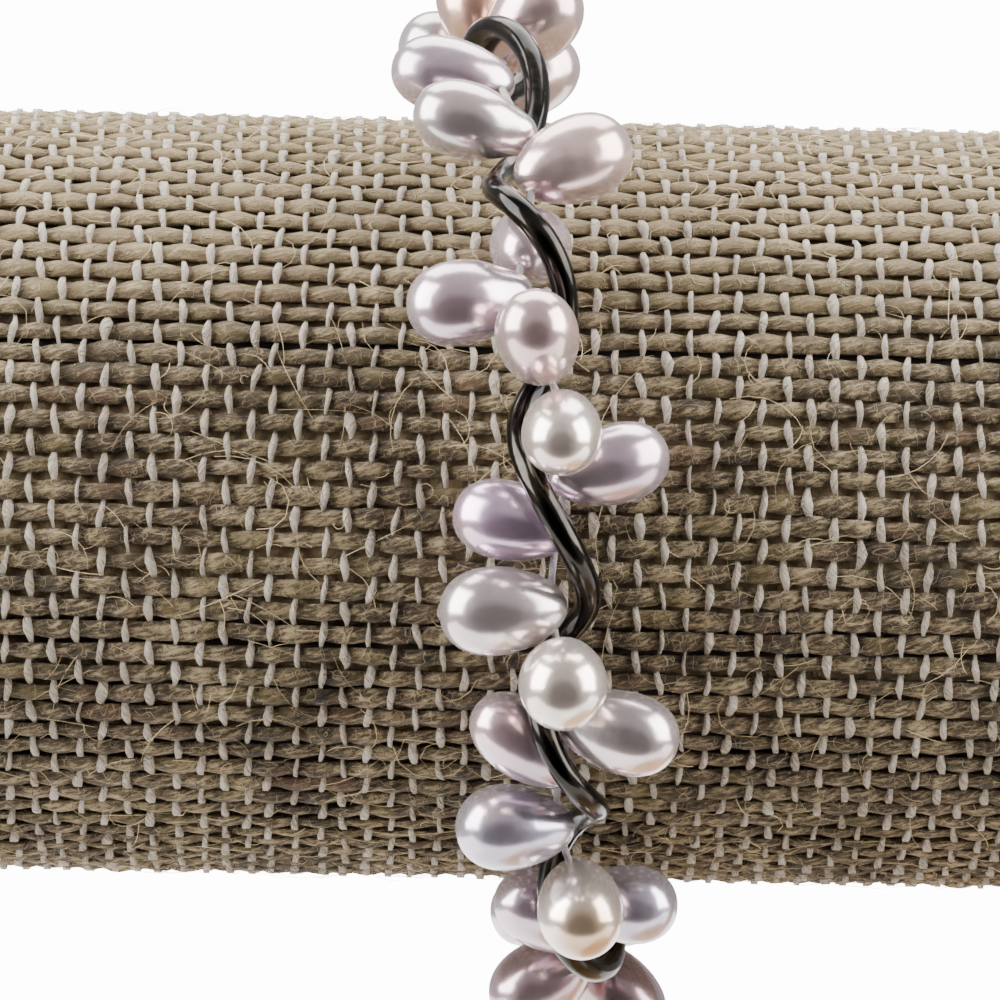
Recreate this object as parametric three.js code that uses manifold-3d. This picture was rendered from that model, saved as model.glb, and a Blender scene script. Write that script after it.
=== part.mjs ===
// A pearl bracelet on a burlap-covered display stand. Millimetres, +Z up.
// Drilled drop pearls hang on a thread that runs once round the bar, a dark wire winds round the thread
// between them, and a barrel clasp closes the loop behind the bar.
// The origin is the middle of the foot's underside. +X runs along the bar and -Y is the bracelet's front.
import * as THREE from "three";
import { mergeVertices } from "three/addons/utils/BufferGeometryUtils.js";
import Module from "manifold-3d";

const wasm = await Module();
wasm.setup();

// Stand
const BAR_DIAMETER = 57;
const BAR_LENGTH = 200;
const BAR_EDGE_RADIUS = 3;
const BAR_AXIS_HEIGHT = 105;
const FOOT_DIAMETER = 100;
const FOOT_THICKNESS = 12;
const FOOT_EDGE_RADIUS = 3;
const POST_DIAMETER = 22;
const POST_FILLET = 8;

// Bracelet
const BRACELET_FROM_POST = 52;
const BRACELET_SKEW = 6.2; // degrees between the loop's plane and a square cut through the bar
const PEARL_LENGTH = 8.7;
const PEARL_WIDTH = 6;
const PEARL_TAPER = 0.2; // how much slimmer than an even oval the drilled end is, and how much fuller the other
const DRILL_INSET = 1.1; // from the pearl's slim tip to the middle of its drilled hole
const THREAD_DIAMETER = 0.5;
const WIRE_DIAMETER = 1.8;
const BARREL_LENGTH = 15;
const CUP_DEPTH = 3;
const CUP_DIAMETER = 4.2;

// Clearances
const SEAT_GAP = 0.3; // between pieces that rest on each other
const DRILL_GAP = 0.25; // between the thread and the wall of a drilled hole

// Shares of the pearl's width that lay out the string
const PITCH_SHARE = 0.78; // thread that one pearl takes up
const WIRE_CLEAR_SIDE_SHARE = 0.2; // clear room between the thread's line and the wire, at the wire's sides
const WIRE_CLEAR_OUT_SHARE = 0.325; // the same where the wire crosses outside or inside the string
const THREAD_SWAY_SHARE = 0.08; // how far the wire pushes the thread off its line

// Fineness of the faceted solids
const PEARL_SIDES = 12;
const PEARL_BANDS = 8;
const DRILL_SIDES = 6;
const BORE_PROBE = 1; // length of thread to each side of a pearl that gives its hole's direction
const WIRE_SIDES = 8;
const THREAD_SIDES = 6;
const WIRE_STEP = 1.4;
const THREAD_STEP = 1.6;
const ROUND_SIDES = 48;
const BARREL_SIDES = 24;
const EDGE_STEPS = 3;

const degrees = THREE.MathUtils.degToRad;
const barRadius = BAR_DIAMETER / 2;
const wireRadius = WIRE_DIAMETER / 2;
const threadRadius = THREAD_DIAMETER / 2;
const pitch = PITCH_SHARE * PEARL_WIDTH;
const wireSide = wireRadius + WIRE_CLEAR_SIDE_SHARE * PEARL_WIDTH;
const wireOut = wireRadius + WIRE_CLEAR_OUT_SHARE * PEARL_WIDTH;
const threadSway = THREAD_SWAY_SHARE * PEARL_WIDTH;
// The wire's inner crossings rest on the bar, also where the skewed loop comes closest to it.
const loopRadius = (barRadius + SEAT_GAP + wireRadius + wireOut) / Math.cos(degrees(BRACELET_SKEW));
const barrelHalfAngle = BARREL_LENGTH / 2 / loopRadius;
const barrelOffset = loopRadius * Math.cos(barrelHalfAngle);
const barrelRadius = barrelOffset * Math.cos(degrees(BRACELET_SKEW)) - barRadius - SEAT_GAP;
const cupRadius = CUP_DIAMETER / 2;
// Inside a cup the wire lies against its outer wall and the thread against its inner wall.
const wireInCup = cupRadius - SEAT_GAP - wireRadius;
const threadInCup = -(cupRadius - 2 * SEAT_GAP - threadRadius);
const CUP_INSERT = CUP_DEPTH - SEAT_GAP;
const ENTRY_LENGTH = 6; // stretch over which wire and thread come together towards the clasp
const stringEnd = Math.PI * loopRadius - BARREL_LENGTH / 2;

// The string's route. "at" is a place on the loop, in pearl pitches down from the middle of the front, and
// "turns" is how often the wire has gone round the thread there: a whole number is a crossing outside the
// thread, a quarter more lies to its right, a half inside it and three quarters to its left. "drift" to the
// right, "lift" off the bar and "slack", the thread's own stray to the right, are shares of pearl width.
const ROUTE = [
  { at: -13.1, turns: -1, drift: -0.05, lift: 0.2, slack: -0.04 },
  { at: -9.15, turns: 0, drift: -0.06, lift: 0.08, slack: -0.04 },
  { at: -5.1, turns: 0.68, drift: -0.02, lift: 0.4, slack: 0.02 },
  { at: -2.85, turns: 1.26, drift: -0.02, lift: 0.28, slack: -0.1 },
  { at: -1.05, turns: 1.73, drift: 0.01, lift: 0.1, slack: 0.1 },
  { at: 1.55, turns: 2.27, drift: -0.06, lift: -0.02, slack: 0 },
  { at: 3.15, turns: 2.76, drift: -0.02, lift: 0.02, slack: -0.06 },
  { at: 5.15, turns: 3.25, drift: -0.13, lift: 0, slack: -0.04 },
  { at: 8.7, turns: 4.05, drift: 0, lift: 0.15, slack: 0 },
  { at: 12.7, turns: 5, drift: 0, lift: 0.2, slack: 0 },
];
const BACK_TURN = 4; // pearl pitches in one turn behind the bar

// The pearls of the front, from top to bottom. "around" is the side each points to, in degrees from
// straight out, positive to the right; "lean" tips it down along the loop; "long" and "wide" are shares of
// the pearl's length and width.
const FRONT_PEARLS = [
  { at: -13.8, around: 50, lean: -10, long: 0.98, wide: 0.98 },
  { at: -12.6, around: -58, lean: 0, long: 1.0, wide: 1.0 },
  { at: -11.55, around: -12, lean: -2, long: 0.99, wide: 0.98 },
  { at: -10.3, around: 45, lean: 6, long: 1.0, wide: 1.08 },
  { at: -7.7, around: -77, lean: -9, long: 1.04, wide: 0.94 },
  { at: -5.72, around: -74, lean: -12, long: 1.03, wide: 0.92 },
  { at: -4.9, around: 97, lean: -26, long: 1.03, wide: 1.04 },
  { at: -3.71, around: 166, lean: -38, long: 0.92, wide: 0.94 },
  { at: -3.02, around: -85, lean: 6, long: 1.03, wide: 1.0 },
  { at: -1.93, around: -5, lean: -14, long: 1.0, wide: 0.96 },
  { at: -1.22, around: -5, lean: 29, long: 1.01, wide: 0.92 },
  { at: -0.31, around: 107, lean: -11, long: 1.01, wide: 0.94 },
  { at: 0.47, around: -102, lean: -16, long: 0.98, wide: 0.93 },
  { at: 1.58, around: -90, lean: -1, long: 1.02, wide: 1.04 },
  { at: 2.46, around: -4, lean: -3, long: 1.0, wide: 1.02 },
  { at: 3.38, around: 79, lean: 18, long: 1.02, wide: 0.98 },
  { at: 4.4, around: -112, lean: -40, long: 1.0, wide: 0.88 },
  { at: 5.4, around: -85, lean: -11, long: 0.98, wide: 1.02 },
  { at: 6.55, around: 0, lean: -21, long: 1.02, wide: 1.02 },
  { at: 7.36, around: 76, lean: -6, long: 0.9, wide: 0.95 },
  { at: 8.85, around: -116, lean: -36, long: 1.0, wide: 0.93 },
  { at: 9.8, around: -57, lean: 6, long: 1.01, wide: 1.03 },
  { at: 11.1, around: 33, lean: -3, long: 1.05, wide: 1.0 },
  { at: 12.7, around: 100, lean: 3, long: 1.0, wide: 0.96 },
  { at: 13.75, around: -84, lean: -2, long: 0.82, wide: 0.92 },
];

// Behind the bar every quarter turn of the wire holds one pearl, beginning at a crossing outside the thread.
const BACK_PEARLS = [
  { around: -104, lean: -13, long: 1, wide: 0.92 },
  { around: -76, lean: 11, long: 1.02, wide: 0.96 },
  { around: 0, lean: -4, long: 1, wide: 1.02 },
  { around: 88, lean: 8, long: 0.98, wide: 0.98 },
];
const ROOM_BETWEEN_TABLES = 0.7; // pearl pitches kept between the last front pearl and the first back one
const ROOM_AT_CLASP = 0.7; // pearl pitches kept free beside the clasp

const MATERIALS = {
  pearl: new THREE.MeshStandardMaterial({ color: 0xcdbfc4, roughness: 0.28, metalness: 0 }),
  wire: new THREE.MeshStandardMaterial({ color: 0x2b2a2b, roughness: 0.3, metalness: 1 }),
  thread: new THREE.MeshStandardMaterial({ color: 0xd8d4cf, roughness: 0.5, metalness: 0 }),
  clasp: new THREE.MeshStandardMaterial({ color: 0x3a393a, roughness: 0.35, metalness: 1 }),
  burlap: new THREE.MeshStandardMaterial({ color: 0x8a7858, roughness: 0.95, metalness: 0 }),
  wood: new THREE.MeshStandardMaterial({ color: 0xcfae82, roughness: 0.55, metalness: 0 }),
};

// A closed geometry as a solid that can be cut.
function solidOf(geometry) {
  const bare = geometry.index ? geometry.toNonIndexed() : geometry.clone();
  bare.deleteAttribute("normal");
  bare.deleteAttribute("uv");
  const merged = mergeVertices(bare, 1e-4);
  return new wasm.Manifold(
    new wasm.Mesh({
      numProp: 3,
      vertProperties: merged.attributes.position.array,
      triVerts: new Uint32Array(merged.index.array),
    }),
  );
}

// A cut solid as a geometry again.
function geometryOf(solid) {
  const { vertProperties, triVerts } = solid.getMesh();
  const geometry = new THREE.BufferGeometry();
  geometry.setAttribute("position", new THREE.BufferAttribute(new Float32Array(vertProperties), 3));
  geometry.setIndex(new THREE.BufferAttribute(new Uint32Array(triVerts), 1));
  geometry.computeVertexNormals();
  return geometry;
}

function named(name, geometry, material) {
  const mesh = new THREE.Mesh(geometry, material);
  mesh.name = name;
  return mesh;
}

// Points of a quarter round from one angle to another, for a turned profile.
function roundEdge(centreX, centreY, radius, from, to) {
  const points = [];
  for (let step = 0; step <= EDGE_STEPS; step++) {
    const angle = degrees(from + ((to - from) * step) / EDGE_STEPS);
    points.push(new THREE.Vector2(centreX + radius * Math.cos(angle), centreY + radius * Math.sin(angle)));
  }
  return points;
}

// The whole route: the rows above, and a last row at each mouth of the clasp.
function wholeRoute() {
  const endAt = stringEnd / pitch;
  const first = ROUTE[0];
  const last = ROUTE[ROUTE.length - 1];
  const turnsBefore = Math.round((endAt + first.at) / BACK_TURN);
  const turnsAfter = Math.round((endAt - last.at) / BACK_TURN);
  return [
    { at: -endAt, turns: first.turns - turnsBefore, drift: 0, lift: 0, slack: 0 },
    ...ROUTE,
    { at: endAt, turns: last.turns + turnsAfter, drift: 0, lift: 0, slack: 0 },
  ];
}
const route = wholeRoute();

// The slope of one column at a row, from its neighbours.
function slopeAt(index, column) {
  const before = route[Math.max(0, index - 1)];
  const after = route[Math.min(route.length - 1, index + 1)];
  return (after[column] - before[column]) / (after.at - before.at);
}

// Smooth in-between value of one column at a length s along the loop.
function routeValue(s, column) {
  const at = THREE.MathUtils.clamp(s / pitch, route[0].at, route[route.length - 1].at);
  let index = 0;
  while (index < route.length - 2 && at > route[index + 1].at) index++;
  const from = route[index];
  const to = route[index + 1];
  const span = to.at - from.at;
  const u = (at - from.at) / span;
  const rise = to[column] - from[column];
  const startSlope = slopeAt(index, column) * span;
  const endSlope = slopeAt(index + 1, column) * span;
  const square = 3 * rise - 2 * startSlope - endSlope;
  const cube = startSlope + endSlope - 2 * rise;
  return from[column] + startSlope * u + square * u * u + cube * u * u * u;
}

// The loop's line at a length s down from the middle of the front: point, outward direction, tangent, side.
function loopFrame(s) {
  const angle = s / loopRadius;
  const out = new THREE.Vector3(0, -Math.cos(angle), -Math.sin(angle));
  return {
    point: out.clone().multiplyScalar(loopRadius),
    out,
    along: new THREE.Vector3(0, Math.sin(angle), -Math.cos(angle)),
    side: new THREE.Vector3(1, 0, 0),
  };
}

// A strand's place: it swings round the loop's line and strays sideways, and near the clasp it closes in to
// its place in the cup.
function strandPoint(s, { swingOut, swingSide, stray, inCup }) {
  const { point, out, side } = loopFrame(s);
  const angle = 2 * Math.PI * routeValue(s, "turns");
  const free = THREE.MathUtils.smoothstep(stringEnd - Math.abs(s), 0, ENTRY_LENGTH);
  const lift = PEARL_WIDTH * routeValue(s, "lift") + swingOut * Math.cos(angle);
  const drift = PEARL_WIDTH * (routeValue(s, "drift") + stray * routeValue(s, "slack"));
  point.addScaledVector(out, free * lift + (1 - free) * inCup);
  return point.addScaledVector(side, free * (drift + swingSide * Math.sin(angle)));
}

const WIRE = { swingOut: wireOut, swingSide: wireSide, stray: 0, inCup: wireInCup };
const THREAD = { swingOut: -threadSway, swingSide: -threadSway, stray: 1, inCup: threadInCup };
const wirePoint = (s) => strandPoint(s, WIRE);
const threadPoint = (s) => strandPoint(s, THREAD);

// A strand from cup to cup. Past the mouths it runs straight into the barrel, along its axis.
class StrandCurve extends THREE.Curve {
  constructor(place) {
    super();
    this.place = place;
    this.arcLengthDivisions = 1200;
  }

  getPoint(u, target = new THREE.Vector3()) {
    const reach = stringEnd + CUP_INSERT;
    const s = THREE.MathUtils.lerp(-reach, reach, u);
    const inside = Math.abs(s) - stringEnd;
    if (inside <= 0) return target.copy(this.place(s));
    target.copy(this.place(Math.sign(s) * stringEnd));
    const seat = -Math.sign(s) * (BARREL_LENGTH / 2 - CUP_INSERT);
    target.z = THREE.MathUtils.lerp(target.z, seat, inside / CUP_INSERT);
    return target;
  }
}

function strandGeometry(place, radius, sides, step) {
  const corners = [];
  for (let side = 0; side < sides; side++) {
    const angle = (2 * Math.PI * side) / sides;
    corners.push(new THREE.Vector2(radius * Math.cos(angle), radius * Math.sin(angle)));
  }
  const curve = new StrandCurve(place);
  return new THREE.ExtrudeGeometry(new THREE.Shape(corners), {
    steps: Math.round(curve.getLength() / step),
    bevelEnabled: false,
    extrudePath: curve,
  });
}

// A drop pearl on its own axis, +Y, with its drilled hole's middle at the origin.
function pearlGeometry(length, width) {
  const profile = [];
  for (let band = 0; band <= PEARL_BANDS; band++) {
    const angle = (Math.PI * band) / PEARL_BANDS;
    const full = (width / 2) * Math.sin(angle) * (1 - PEARL_TAPER * Math.cos(angle));
    const ends = band === 0 || band === PEARL_BANDS;
    profile.push(new THREE.Vector2(ends ? 0 : full, (length / 2) * (1 - Math.cos(angle)) - DRILL_INSET));
  }
  return new THREE.LatheGeometry(profile, PEARL_SIDES);
}

function pearlMesh(name, row) {
  const s = row.at * pitch;
  const { out, along, side } = loopFrame(s);
  const around = degrees(row.around);
  const lean = degrees(row.lean);
  const direction = out.clone().multiplyScalar(Math.cos(lean) * Math.cos(around));
  direction.addScaledVector(side, Math.cos(lean) * Math.sin(around));
  direction.addScaledVector(along, Math.sin(lean));
  const turn = new THREE.Quaternion().setFromUnitVectors(new THREE.Vector3(0, 1, 0), direction.normalize());

  const run = threadPoint(s + BORE_PROBE).sub(threadPoint(s - BORE_PROBE)).normalize();
  const runInPearl = run.applyQuaternion(turn.clone().invert());
  const bore = (threadRadius + DRILL_GAP) / Math.cos(Math.PI / DRILL_SIDES);
  const drill = new THREE.CylinderGeometry(bore, bore, 2 * PEARL_LENGTH, DRILL_SIDES);
  drill.applyQuaternion(new THREE.Quaternion().setFromUnitVectors(new THREE.Vector3(0, 1, 0), runInPearl));

  const whole = pearlGeometry(row.long * PEARL_LENGTH, row.wide * PEARL_WIDTH);
  const mesh = named(name, geometryOf(solidOf(whole).subtract(solidOf(drill))), MATERIALS.pearl);
  mesh.position.copy(threadPoint(s));
  mesh.quaternion.copy(turn);
  return mesh;
}

// The pearls between one end of the front table and the clasp, at even quarter turns of the wire.
function backPearls(edge, clasp, frontEnd) {
  const way = Math.sign(clasp.at - edge.at);
  const quarters = 4 * Math.abs(clasp.turns - edge.turns);
  const step = (clasp.at - edge.at) / quarters;
  const rows = [];
  for (let quarter = 0; quarter < quarters; quarter++) {
    const at = edge.at + quarter * step;
    const clearOfFront = way * (at - frontEnd) >= ROOM_BETWEEN_TABLES;
    const clearOfClasp = way * (clasp.at - at) >= ROOM_AT_CLASP;
    const kind = BACK_PEARLS[THREE.MathUtils.euclideanModulo(way * quarter, 4)];
    if (clearOfFront && clearOfClasp) rows.push({ at, ...kind });
  }
  return rows;
}

function allPearls() {
  const last = route.length - 1;
  const above = backPearls(route[1], route[0], FRONT_PEARLS[0].at);
  const below = backPearls(route[last - 1], route[last], FRONT_PEARLS[FRONT_PEARLS.length - 1].at);
  return [...above.reverse(), ...FRONT_PEARLS, ...below];
}

// A barrel with a cup in each end.
function barrelClasp() {
  const half = BARREL_LENGTH / 2;
  const cupFloor = half - CUP_DEPTH;
  const edge = Math.min(barrelRadius - cupRadius, barrelRadius / 2) / 2;
  const profile = [
    new THREE.Vector2(0, -cupFloor),
    new THREE.Vector2(cupRadius, -cupFloor),
    new THREE.Vector2(cupRadius, -half),
    ...roundEdge(barrelRadius - edge, edge - half, edge, -90, 0),
    ...roundEdge(barrelRadius - edge, half - edge, edge, 0, 90),
    new THREE.Vector2(cupRadius, half),
    new THREE.Vector2(cupRadius, cupFloor),
    new THREE.Vector2(0, cupFloor),
  ];
  const barrel = named("barrel_clasp", new THREE.LatheGeometry(profile, BARREL_SIDES), MATERIALS.clasp);
  barrel.position.set(0, barrelOffset, 0);
  barrel.rotation.x = Math.PI / 2;
  return barrel;
}

// The bar: a padded roll with soft edges, turned about its own axis.
function barGeometry(radius) {
  const half = BAR_LENGTH / 2;
  const inner = radius - BAR_EDGE_RADIUS;
  const profile = [
    new THREE.Vector2(0, -half),
    ...roundEdge(inner, BAR_EDGE_RADIUS - half, BAR_EDGE_RADIUS, -90, 0),
    ...roundEdge(inner, half - BAR_EDGE_RADIUS, BAR_EDGE_RADIUS, 0, 90),
    new THREE.Vector2(0, half),
  ];
  return new THREE.LatheGeometry(profile, ROUND_SIDES).rotateZ(-Math.PI / 2).translate(0, 0, BAR_AXIS_HEIGHT);
}

// The foot: a round base and a post whose top is hollowed to carry the bar.
function footGeometry() {
  const radius = FOOT_DIAMETER / 2;
  const post = POST_DIAMETER / 2;
  const profile = [
    new THREE.Vector2(0, 0),
    new THREE.Vector2(radius, 0),
    ...roundEdge(radius - FOOT_EDGE_RADIUS, FOOT_THICKNESS - FOOT_EDGE_RADIUS, FOOT_EDGE_RADIUS, 0, 90),
    ...roundEdge(post + POST_FILLET, FOOT_THICKNESS + POST_FILLET, POST_FILLET, 270, 180),
    new THREE.Vector2(post, BAR_AXIS_HEIGHT - barRadius + post / 2),
    new THREE.Vector2(0, BAR_AXIS_HEIGHT - barRadius + post / 2),
  ];
  const whole = new THREE.LatheGeometry(profile, ROUND_SIDES).rotateX(Math.PI / 2);
  return geometryOf(solidOf(whole).subtract(solidOf(barGeometry(barRadius + SEAT_GAP))));
}

const bracelet = new THREE.Group();
bracelet.position.set(-BRACELET_FROM_POST, 0, BAR_AXIS_HEIGHT);
bracelet.rotation.y = -degrees(BRACELET_SKEW);
allPearls().forEach((row, index) => {
  bracelet.add(pearlMesh(`pearl_${String(index + 1).padStart(2, "0")}`, row));
});
bracelet.add(named("wire_spiral", strandGeometry(wirePoint, wireRadius, WIRE_SIDES, WIRE_STEP), MATERIALS.wire));
bracelet.add(
  named("thread", strandGeometry(threadPoint, threadRadius, THREAD_SIDES, THREAD_STEP), MATERIALS.thread),
);
bracelet.add(barrelClasp());

const stand = new THREE.Group();
stand.add(named("display_bar", barGeometry(barRadius), MATERIALS.burlap));
stand.add(named("display_foot", footGeometry(), MATERIALS.wood));

const part = new THREE.Group();
part.add(bracelet, stand);

export default part;
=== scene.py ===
"""A pearl bracelet on a burlap-covered display stand.

Lengths in the helpers are millimetres, and the scene is in metres.
"""
import math

import bpy
import numpy as np
from mathutils import Matrix, Vector


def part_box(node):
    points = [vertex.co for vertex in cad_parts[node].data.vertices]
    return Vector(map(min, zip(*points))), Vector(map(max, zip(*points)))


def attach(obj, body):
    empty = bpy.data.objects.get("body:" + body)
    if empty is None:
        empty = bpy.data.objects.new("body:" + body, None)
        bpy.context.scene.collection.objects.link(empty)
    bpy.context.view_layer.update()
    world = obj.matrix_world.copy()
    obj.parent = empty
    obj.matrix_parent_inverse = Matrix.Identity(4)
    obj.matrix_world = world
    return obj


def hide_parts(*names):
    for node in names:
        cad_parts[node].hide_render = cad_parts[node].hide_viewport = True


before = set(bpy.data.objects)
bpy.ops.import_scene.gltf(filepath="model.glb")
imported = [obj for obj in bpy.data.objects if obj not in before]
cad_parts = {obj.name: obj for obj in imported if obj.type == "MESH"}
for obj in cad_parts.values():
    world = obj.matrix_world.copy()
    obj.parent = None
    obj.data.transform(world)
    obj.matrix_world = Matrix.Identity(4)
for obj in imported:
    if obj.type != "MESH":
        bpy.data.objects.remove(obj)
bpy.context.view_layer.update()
rng = np.random.default_rng(7)

# Sizes of the solids
BAR_RADIUS = 28.5
BAR_HALF = 100.0
BAR_EDGE = 3.0
AXIS_HEIGHT = 105.0
FROM_POST = 52.0
SKEW = math.radians(6.2)
FOOT_RADIUS = 50.0
FOOT_THICKNESS = 12.0
FOOT_EDGE = 3.0
POST_RADIUS = 11.0
POST_FILLET = 8.0
PEARL_WIDTH = 6.0
PITCH = 0.78 * PEARL_WIDTH
WIRE_RADIUS = 0.9
THREAD_RADIUS = 0.25
SEAT_GAP = 0.3
WIRE_SIDE = WIRE_RADIUS + 0.2 * PEARL_WIDTH
WIRE_OUT = WIRE_RADIUS + 0.325 * PEARL_WIDTH
SWAY = 0.08 * PEARL_WIDTH
LOOP_RADIUS = (BAR_RADIUS + SEAT_GAP + WIRE_RADIUS + WIRE_OUT) / math.cos(SKEW)
BARREL_LENGTH = 15.0
CUP_DEPTH = 3.0
CUP_INSERT = CUP_DEPTH - SEAT_GAP
CUP_RADIUS = 2.1
ENTRY = 6.0  # the stretch in which a strand eases to its place in the cup
STRING_END = math.pi * LOOP_RADIUS - BARREL_LENGTH / 2
BARREL_OFFSET = LOOP_RADIUS * math.cos(BARREL_LENGTH / 2 / LOOP_RADIUS)
BARREL_RADIUS = BARREL_OFFSET * math.cos(SKEW) - BAR_RADIUS - SEAT_GAP
BACK_TURN = 4  # pearls to a turn of the wire behind

# The view, with its centre and distance in metres
VIEW_CENTRE = Vector((-FROM_POST / 1000, 0, AXIS_HEIGHT / 1000))
CAMERA_ROLL = math.radians(1.2)
CAMERA_TURN = math.radians(-1.0)
CAMERA_DISTANCE = 0.4
CAMERA_LEFT = 0.0032
SENSOR_WIDTH = 36.0
FOCAL_SHARE = 5.329  # the focal length in sensor widths
BACKDROP_STRENGTH = 14.0  # bright enough to come out plain white

# Fineness of the bracelet's meshes
BEAD_SIDES = 40
BEAD_BANDS = 32
WIRE_SIDES = 20
WIRE_SAMPLES = 1100
THREAD_SIDES = 10
THREAD_SAMPLES = 700
THREAD_RUN = 206.0  # about the thread's length
THREAD_TWIST = 4.2  # in radians a millimetre
BARREL_SIDES = 72

# The burlap: how its yarns are spaced, and how fine their meshes are
WARP_PITCH = 1.7
ROWS = 106
WARPS = 115
GROUND = 27.78  # radius of the plane between thick and pale yarns
END_RADIUS = 25.4  # of the weave that closes each end
WEFT_SAMPLES = 350
WARP_SAMPLES_PER_ROW = 3
WEFT_TURNS = np.radians([-132, -66, 0, 66, 132])
WARP_TURNS = np.radians([-125, -42, 42, 125])
FIBRE_TURNS = np.radians([-120, 0, 120])
FIBRES = 3500
FIBRE_SAMPLES = 6
FIBRE_REACH = 97.0  # how far from the bar's middle the fibres reach
YARN_TOP = 28.12  # radius at which the fibres lie on the yarns

# The roll inside the yarns, the discs that close it, and the foot
ROLL_RADIUS = 27.35
ROLL_HALF = 99.2
COVER_RADIUS = 25.6
COVER_HALF = 0.45
COVER_EDGE = 0.4
COVER_PLACE = 99.25  # from the bar's middle to the disc's
ROLL_SIDES = 128
FOOT_SIDES = 144
POST_TOP = 77.2

# The string's route: place in pearls from the middle of the front, turns of the wire,
# and drift, lift and slack in pearl widths
ROUTE = [
    (-13.1, -1, -0.05, 0.2, -0.04),
    (-9.15, 0, -0.06, 0.08, -0.04),
    (-5.1, 0.68, -0.02, 0.4, 0.02),
    (-2.85, 1.26, -0.02, 0.28, -0.1),
    (-1.05, 1.73, 0.01, 0.1, 0.1),
    (1.55, 2.27, -0.06, -0.02, 0),
    (3.15, 2.76, -0.02, 0.02, -0.06),
    (5.15, 3.25, -0.13, 0, -0.04),
    (8.7, 4.05, 0, 0.15, 0),
    (12.7, 5, 0, 0.2, 0),
]


def linear(red, green, blue):
    """A colour given as 0-255 display values, in scene values."""
    out = []
    for value in (red, green, blue):
        v = value / 255
        out.append(v / 12.92 if v <= 0.04045 else ((v + 0.055) / 1.055) ** 2.4)
    return (*out, 1.0)


# Meshes

def make(name, verts, quads, tris=(), attribute=None):
    """A smooth mesh object from arrays in millimetres, with an optional vector per vertex."""
    quads = np.asarray(quads, np.int32).reshape(-1, 4)
    tris = np.asarray(tris, np.int32).reshape(-1, 3)
    mesh = bpy.data.meshes.new(name)
    mesh.vertices.add(len(verts))
    mesh.vertices.foreach_set("co", (np.asarray(verts, np.float32) * 0.001).ravel())
    mesh.loops.add(quads.size + tris.size)
    mesh.loops.foreach_set("vertex_index", np.concatenate([quads.ravel(), tris.ravel()]))
    starts = np.concatenate([np.arange(len(quads)) * 4, quads.size + np.arange(len(tris)) * 3])
    mesh.polygons.add(len(starts))
    mesh.polygons.foreach_set("loop_start", starts.astype(np.int32))
    mesh.polygons.foreach_set("use_smooth", np.ones(len(starts), bool))
    if attribute is not None:
        layer = mesh.attributes.new("run", "FLOAT_VECTOR", "POINT")
        layer.data.foreach_set("vector", np.asarray(attribute, np.float32).ravel())
    mesh.update(calc_edges=True)
    mesh.validate()
    obj = bpy.data.objects.new(name, mesh)
    bpy.context.scene.collection.objects.link(obj)
    return obj


def rings(count, sides, first=0):
    """Quads between neighbouring rings of a tube."""
    i, j = np.meshgrid(np.arange(count - 1), np.arange(sides), indexing="ij")
    k = (j + 1) % sides
    quads = np.stack([i * sides + j, i * sides + k, (i + 1) * sides + k, (i + 1) * sides + j], -1)
    return quads.reshape(-1, 4) + first


def lathe(profile, sides):
    """Verts, quads and tris of a closed turned body about +Z; the profile runs from axis to axis."""
    profile = np.asarray(profile, float)
    turn = np.linspace(0, 2 * np.pi, sides, endpoint=False)
    body = profile[1:-1]
    verts = np.stack([
        body[:, None, 0] * np.cos(turn),
        body[:, None, 0] * np.sin(turn),
        np.repeat(body[:, None, 1], sides, 1),
    ], -1).reshape(-1, 3)
    quads = rings(len(body), sides)
    base = len(verts)
    verts = np.vstack([verts, [[0, 0, profile[0, 1]], [0, 0, profile[-1, 1]]]])
    j = np.arange(sides)
    low = np.stack([np.full(sides, base), (j + 1) % sides, j], -1)
    top = (len(body) - 1) * sides
    high = np.stack([np.full(sides, base + 1), top + j, top + (j + 1) % sides], -1)
    return verts, quads, np.vstack([low, high])


def tube(path, radii, sides, side_hint):
    """A closed tube along a path, with its distance and turn kept for the material."""
    path = np.asarray(path, float)
    tangent = np.gradient(path, axis=0)
    tangent /= np.linalg.norm(tangent, axis=1, keepdims=True)
    across = side_hint - (side_hint * tangent).sum(1, keepdims=True) * tangent
    across /= np.linalg.norm(across, axis=1, keepdims=True)
    third = np.cross(tangent, across)
    turn = np.linspace(0, 2 * np.pi, sides, endpoint=False)
    ring = across[:, None] * np.cos(turn)[None, :, None] + third[:, None] * np.sin(turn)[None, :, None]
    verts = (path[:, None] + ring * radii[..., None]).reshape(-1, 3)
    quads = rings(len(path), sides)
    base = len(verts)
    verts = np.vstack([verts, path[[0, -1]]])
    j = np.arange(sides)
    low = np.stack([np.full(sides, base), (j + 1) % sides, j], -1)
    top = (len(path) - 1) * sides
    high = np.stack([np.full(sides, base + 1), top + j, top + (j + 1) % sides], -1)
    length = np.concatenate([[0], np.cumsum(np.linalg.norm(np.diff(path, axis=0), axis=1))])
    run = np.zeros((len(verts), 3))
    run[:base, 0] = np.repeat(length, sides)
    run[:base, 1] = np.tile(turn / (2 * np.pi), len(path))
    run[base + 1, 0] = length[-1]
    return verts, quads, np.vstack([low, high]), run


def wander(count, knots, amount):
    """A smooth random line of values."""
    coarse = rng.normal(0, amount, max(2, int(knots)) + 3)
    x = np.linspace(1, len(coarse) - 2.001, count)
    i = x.astype(int)
    f = x - i
    s = f * f * (3 - 2 * f)
    return coarse[i] * (1 - s) + coarse[i + 1] * s


def dress(obj, material, slot, *nodes):
    """Gives a piece its finish and its parent, and hides the solids that it stands for; the slot argument is
    not used.
    """
    obj.data.materials.clear()
    obj.data.materials.append(material)
    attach(obj, "root")
    if nodes:
        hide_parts(*nodes)
    return obj


# The string

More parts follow.
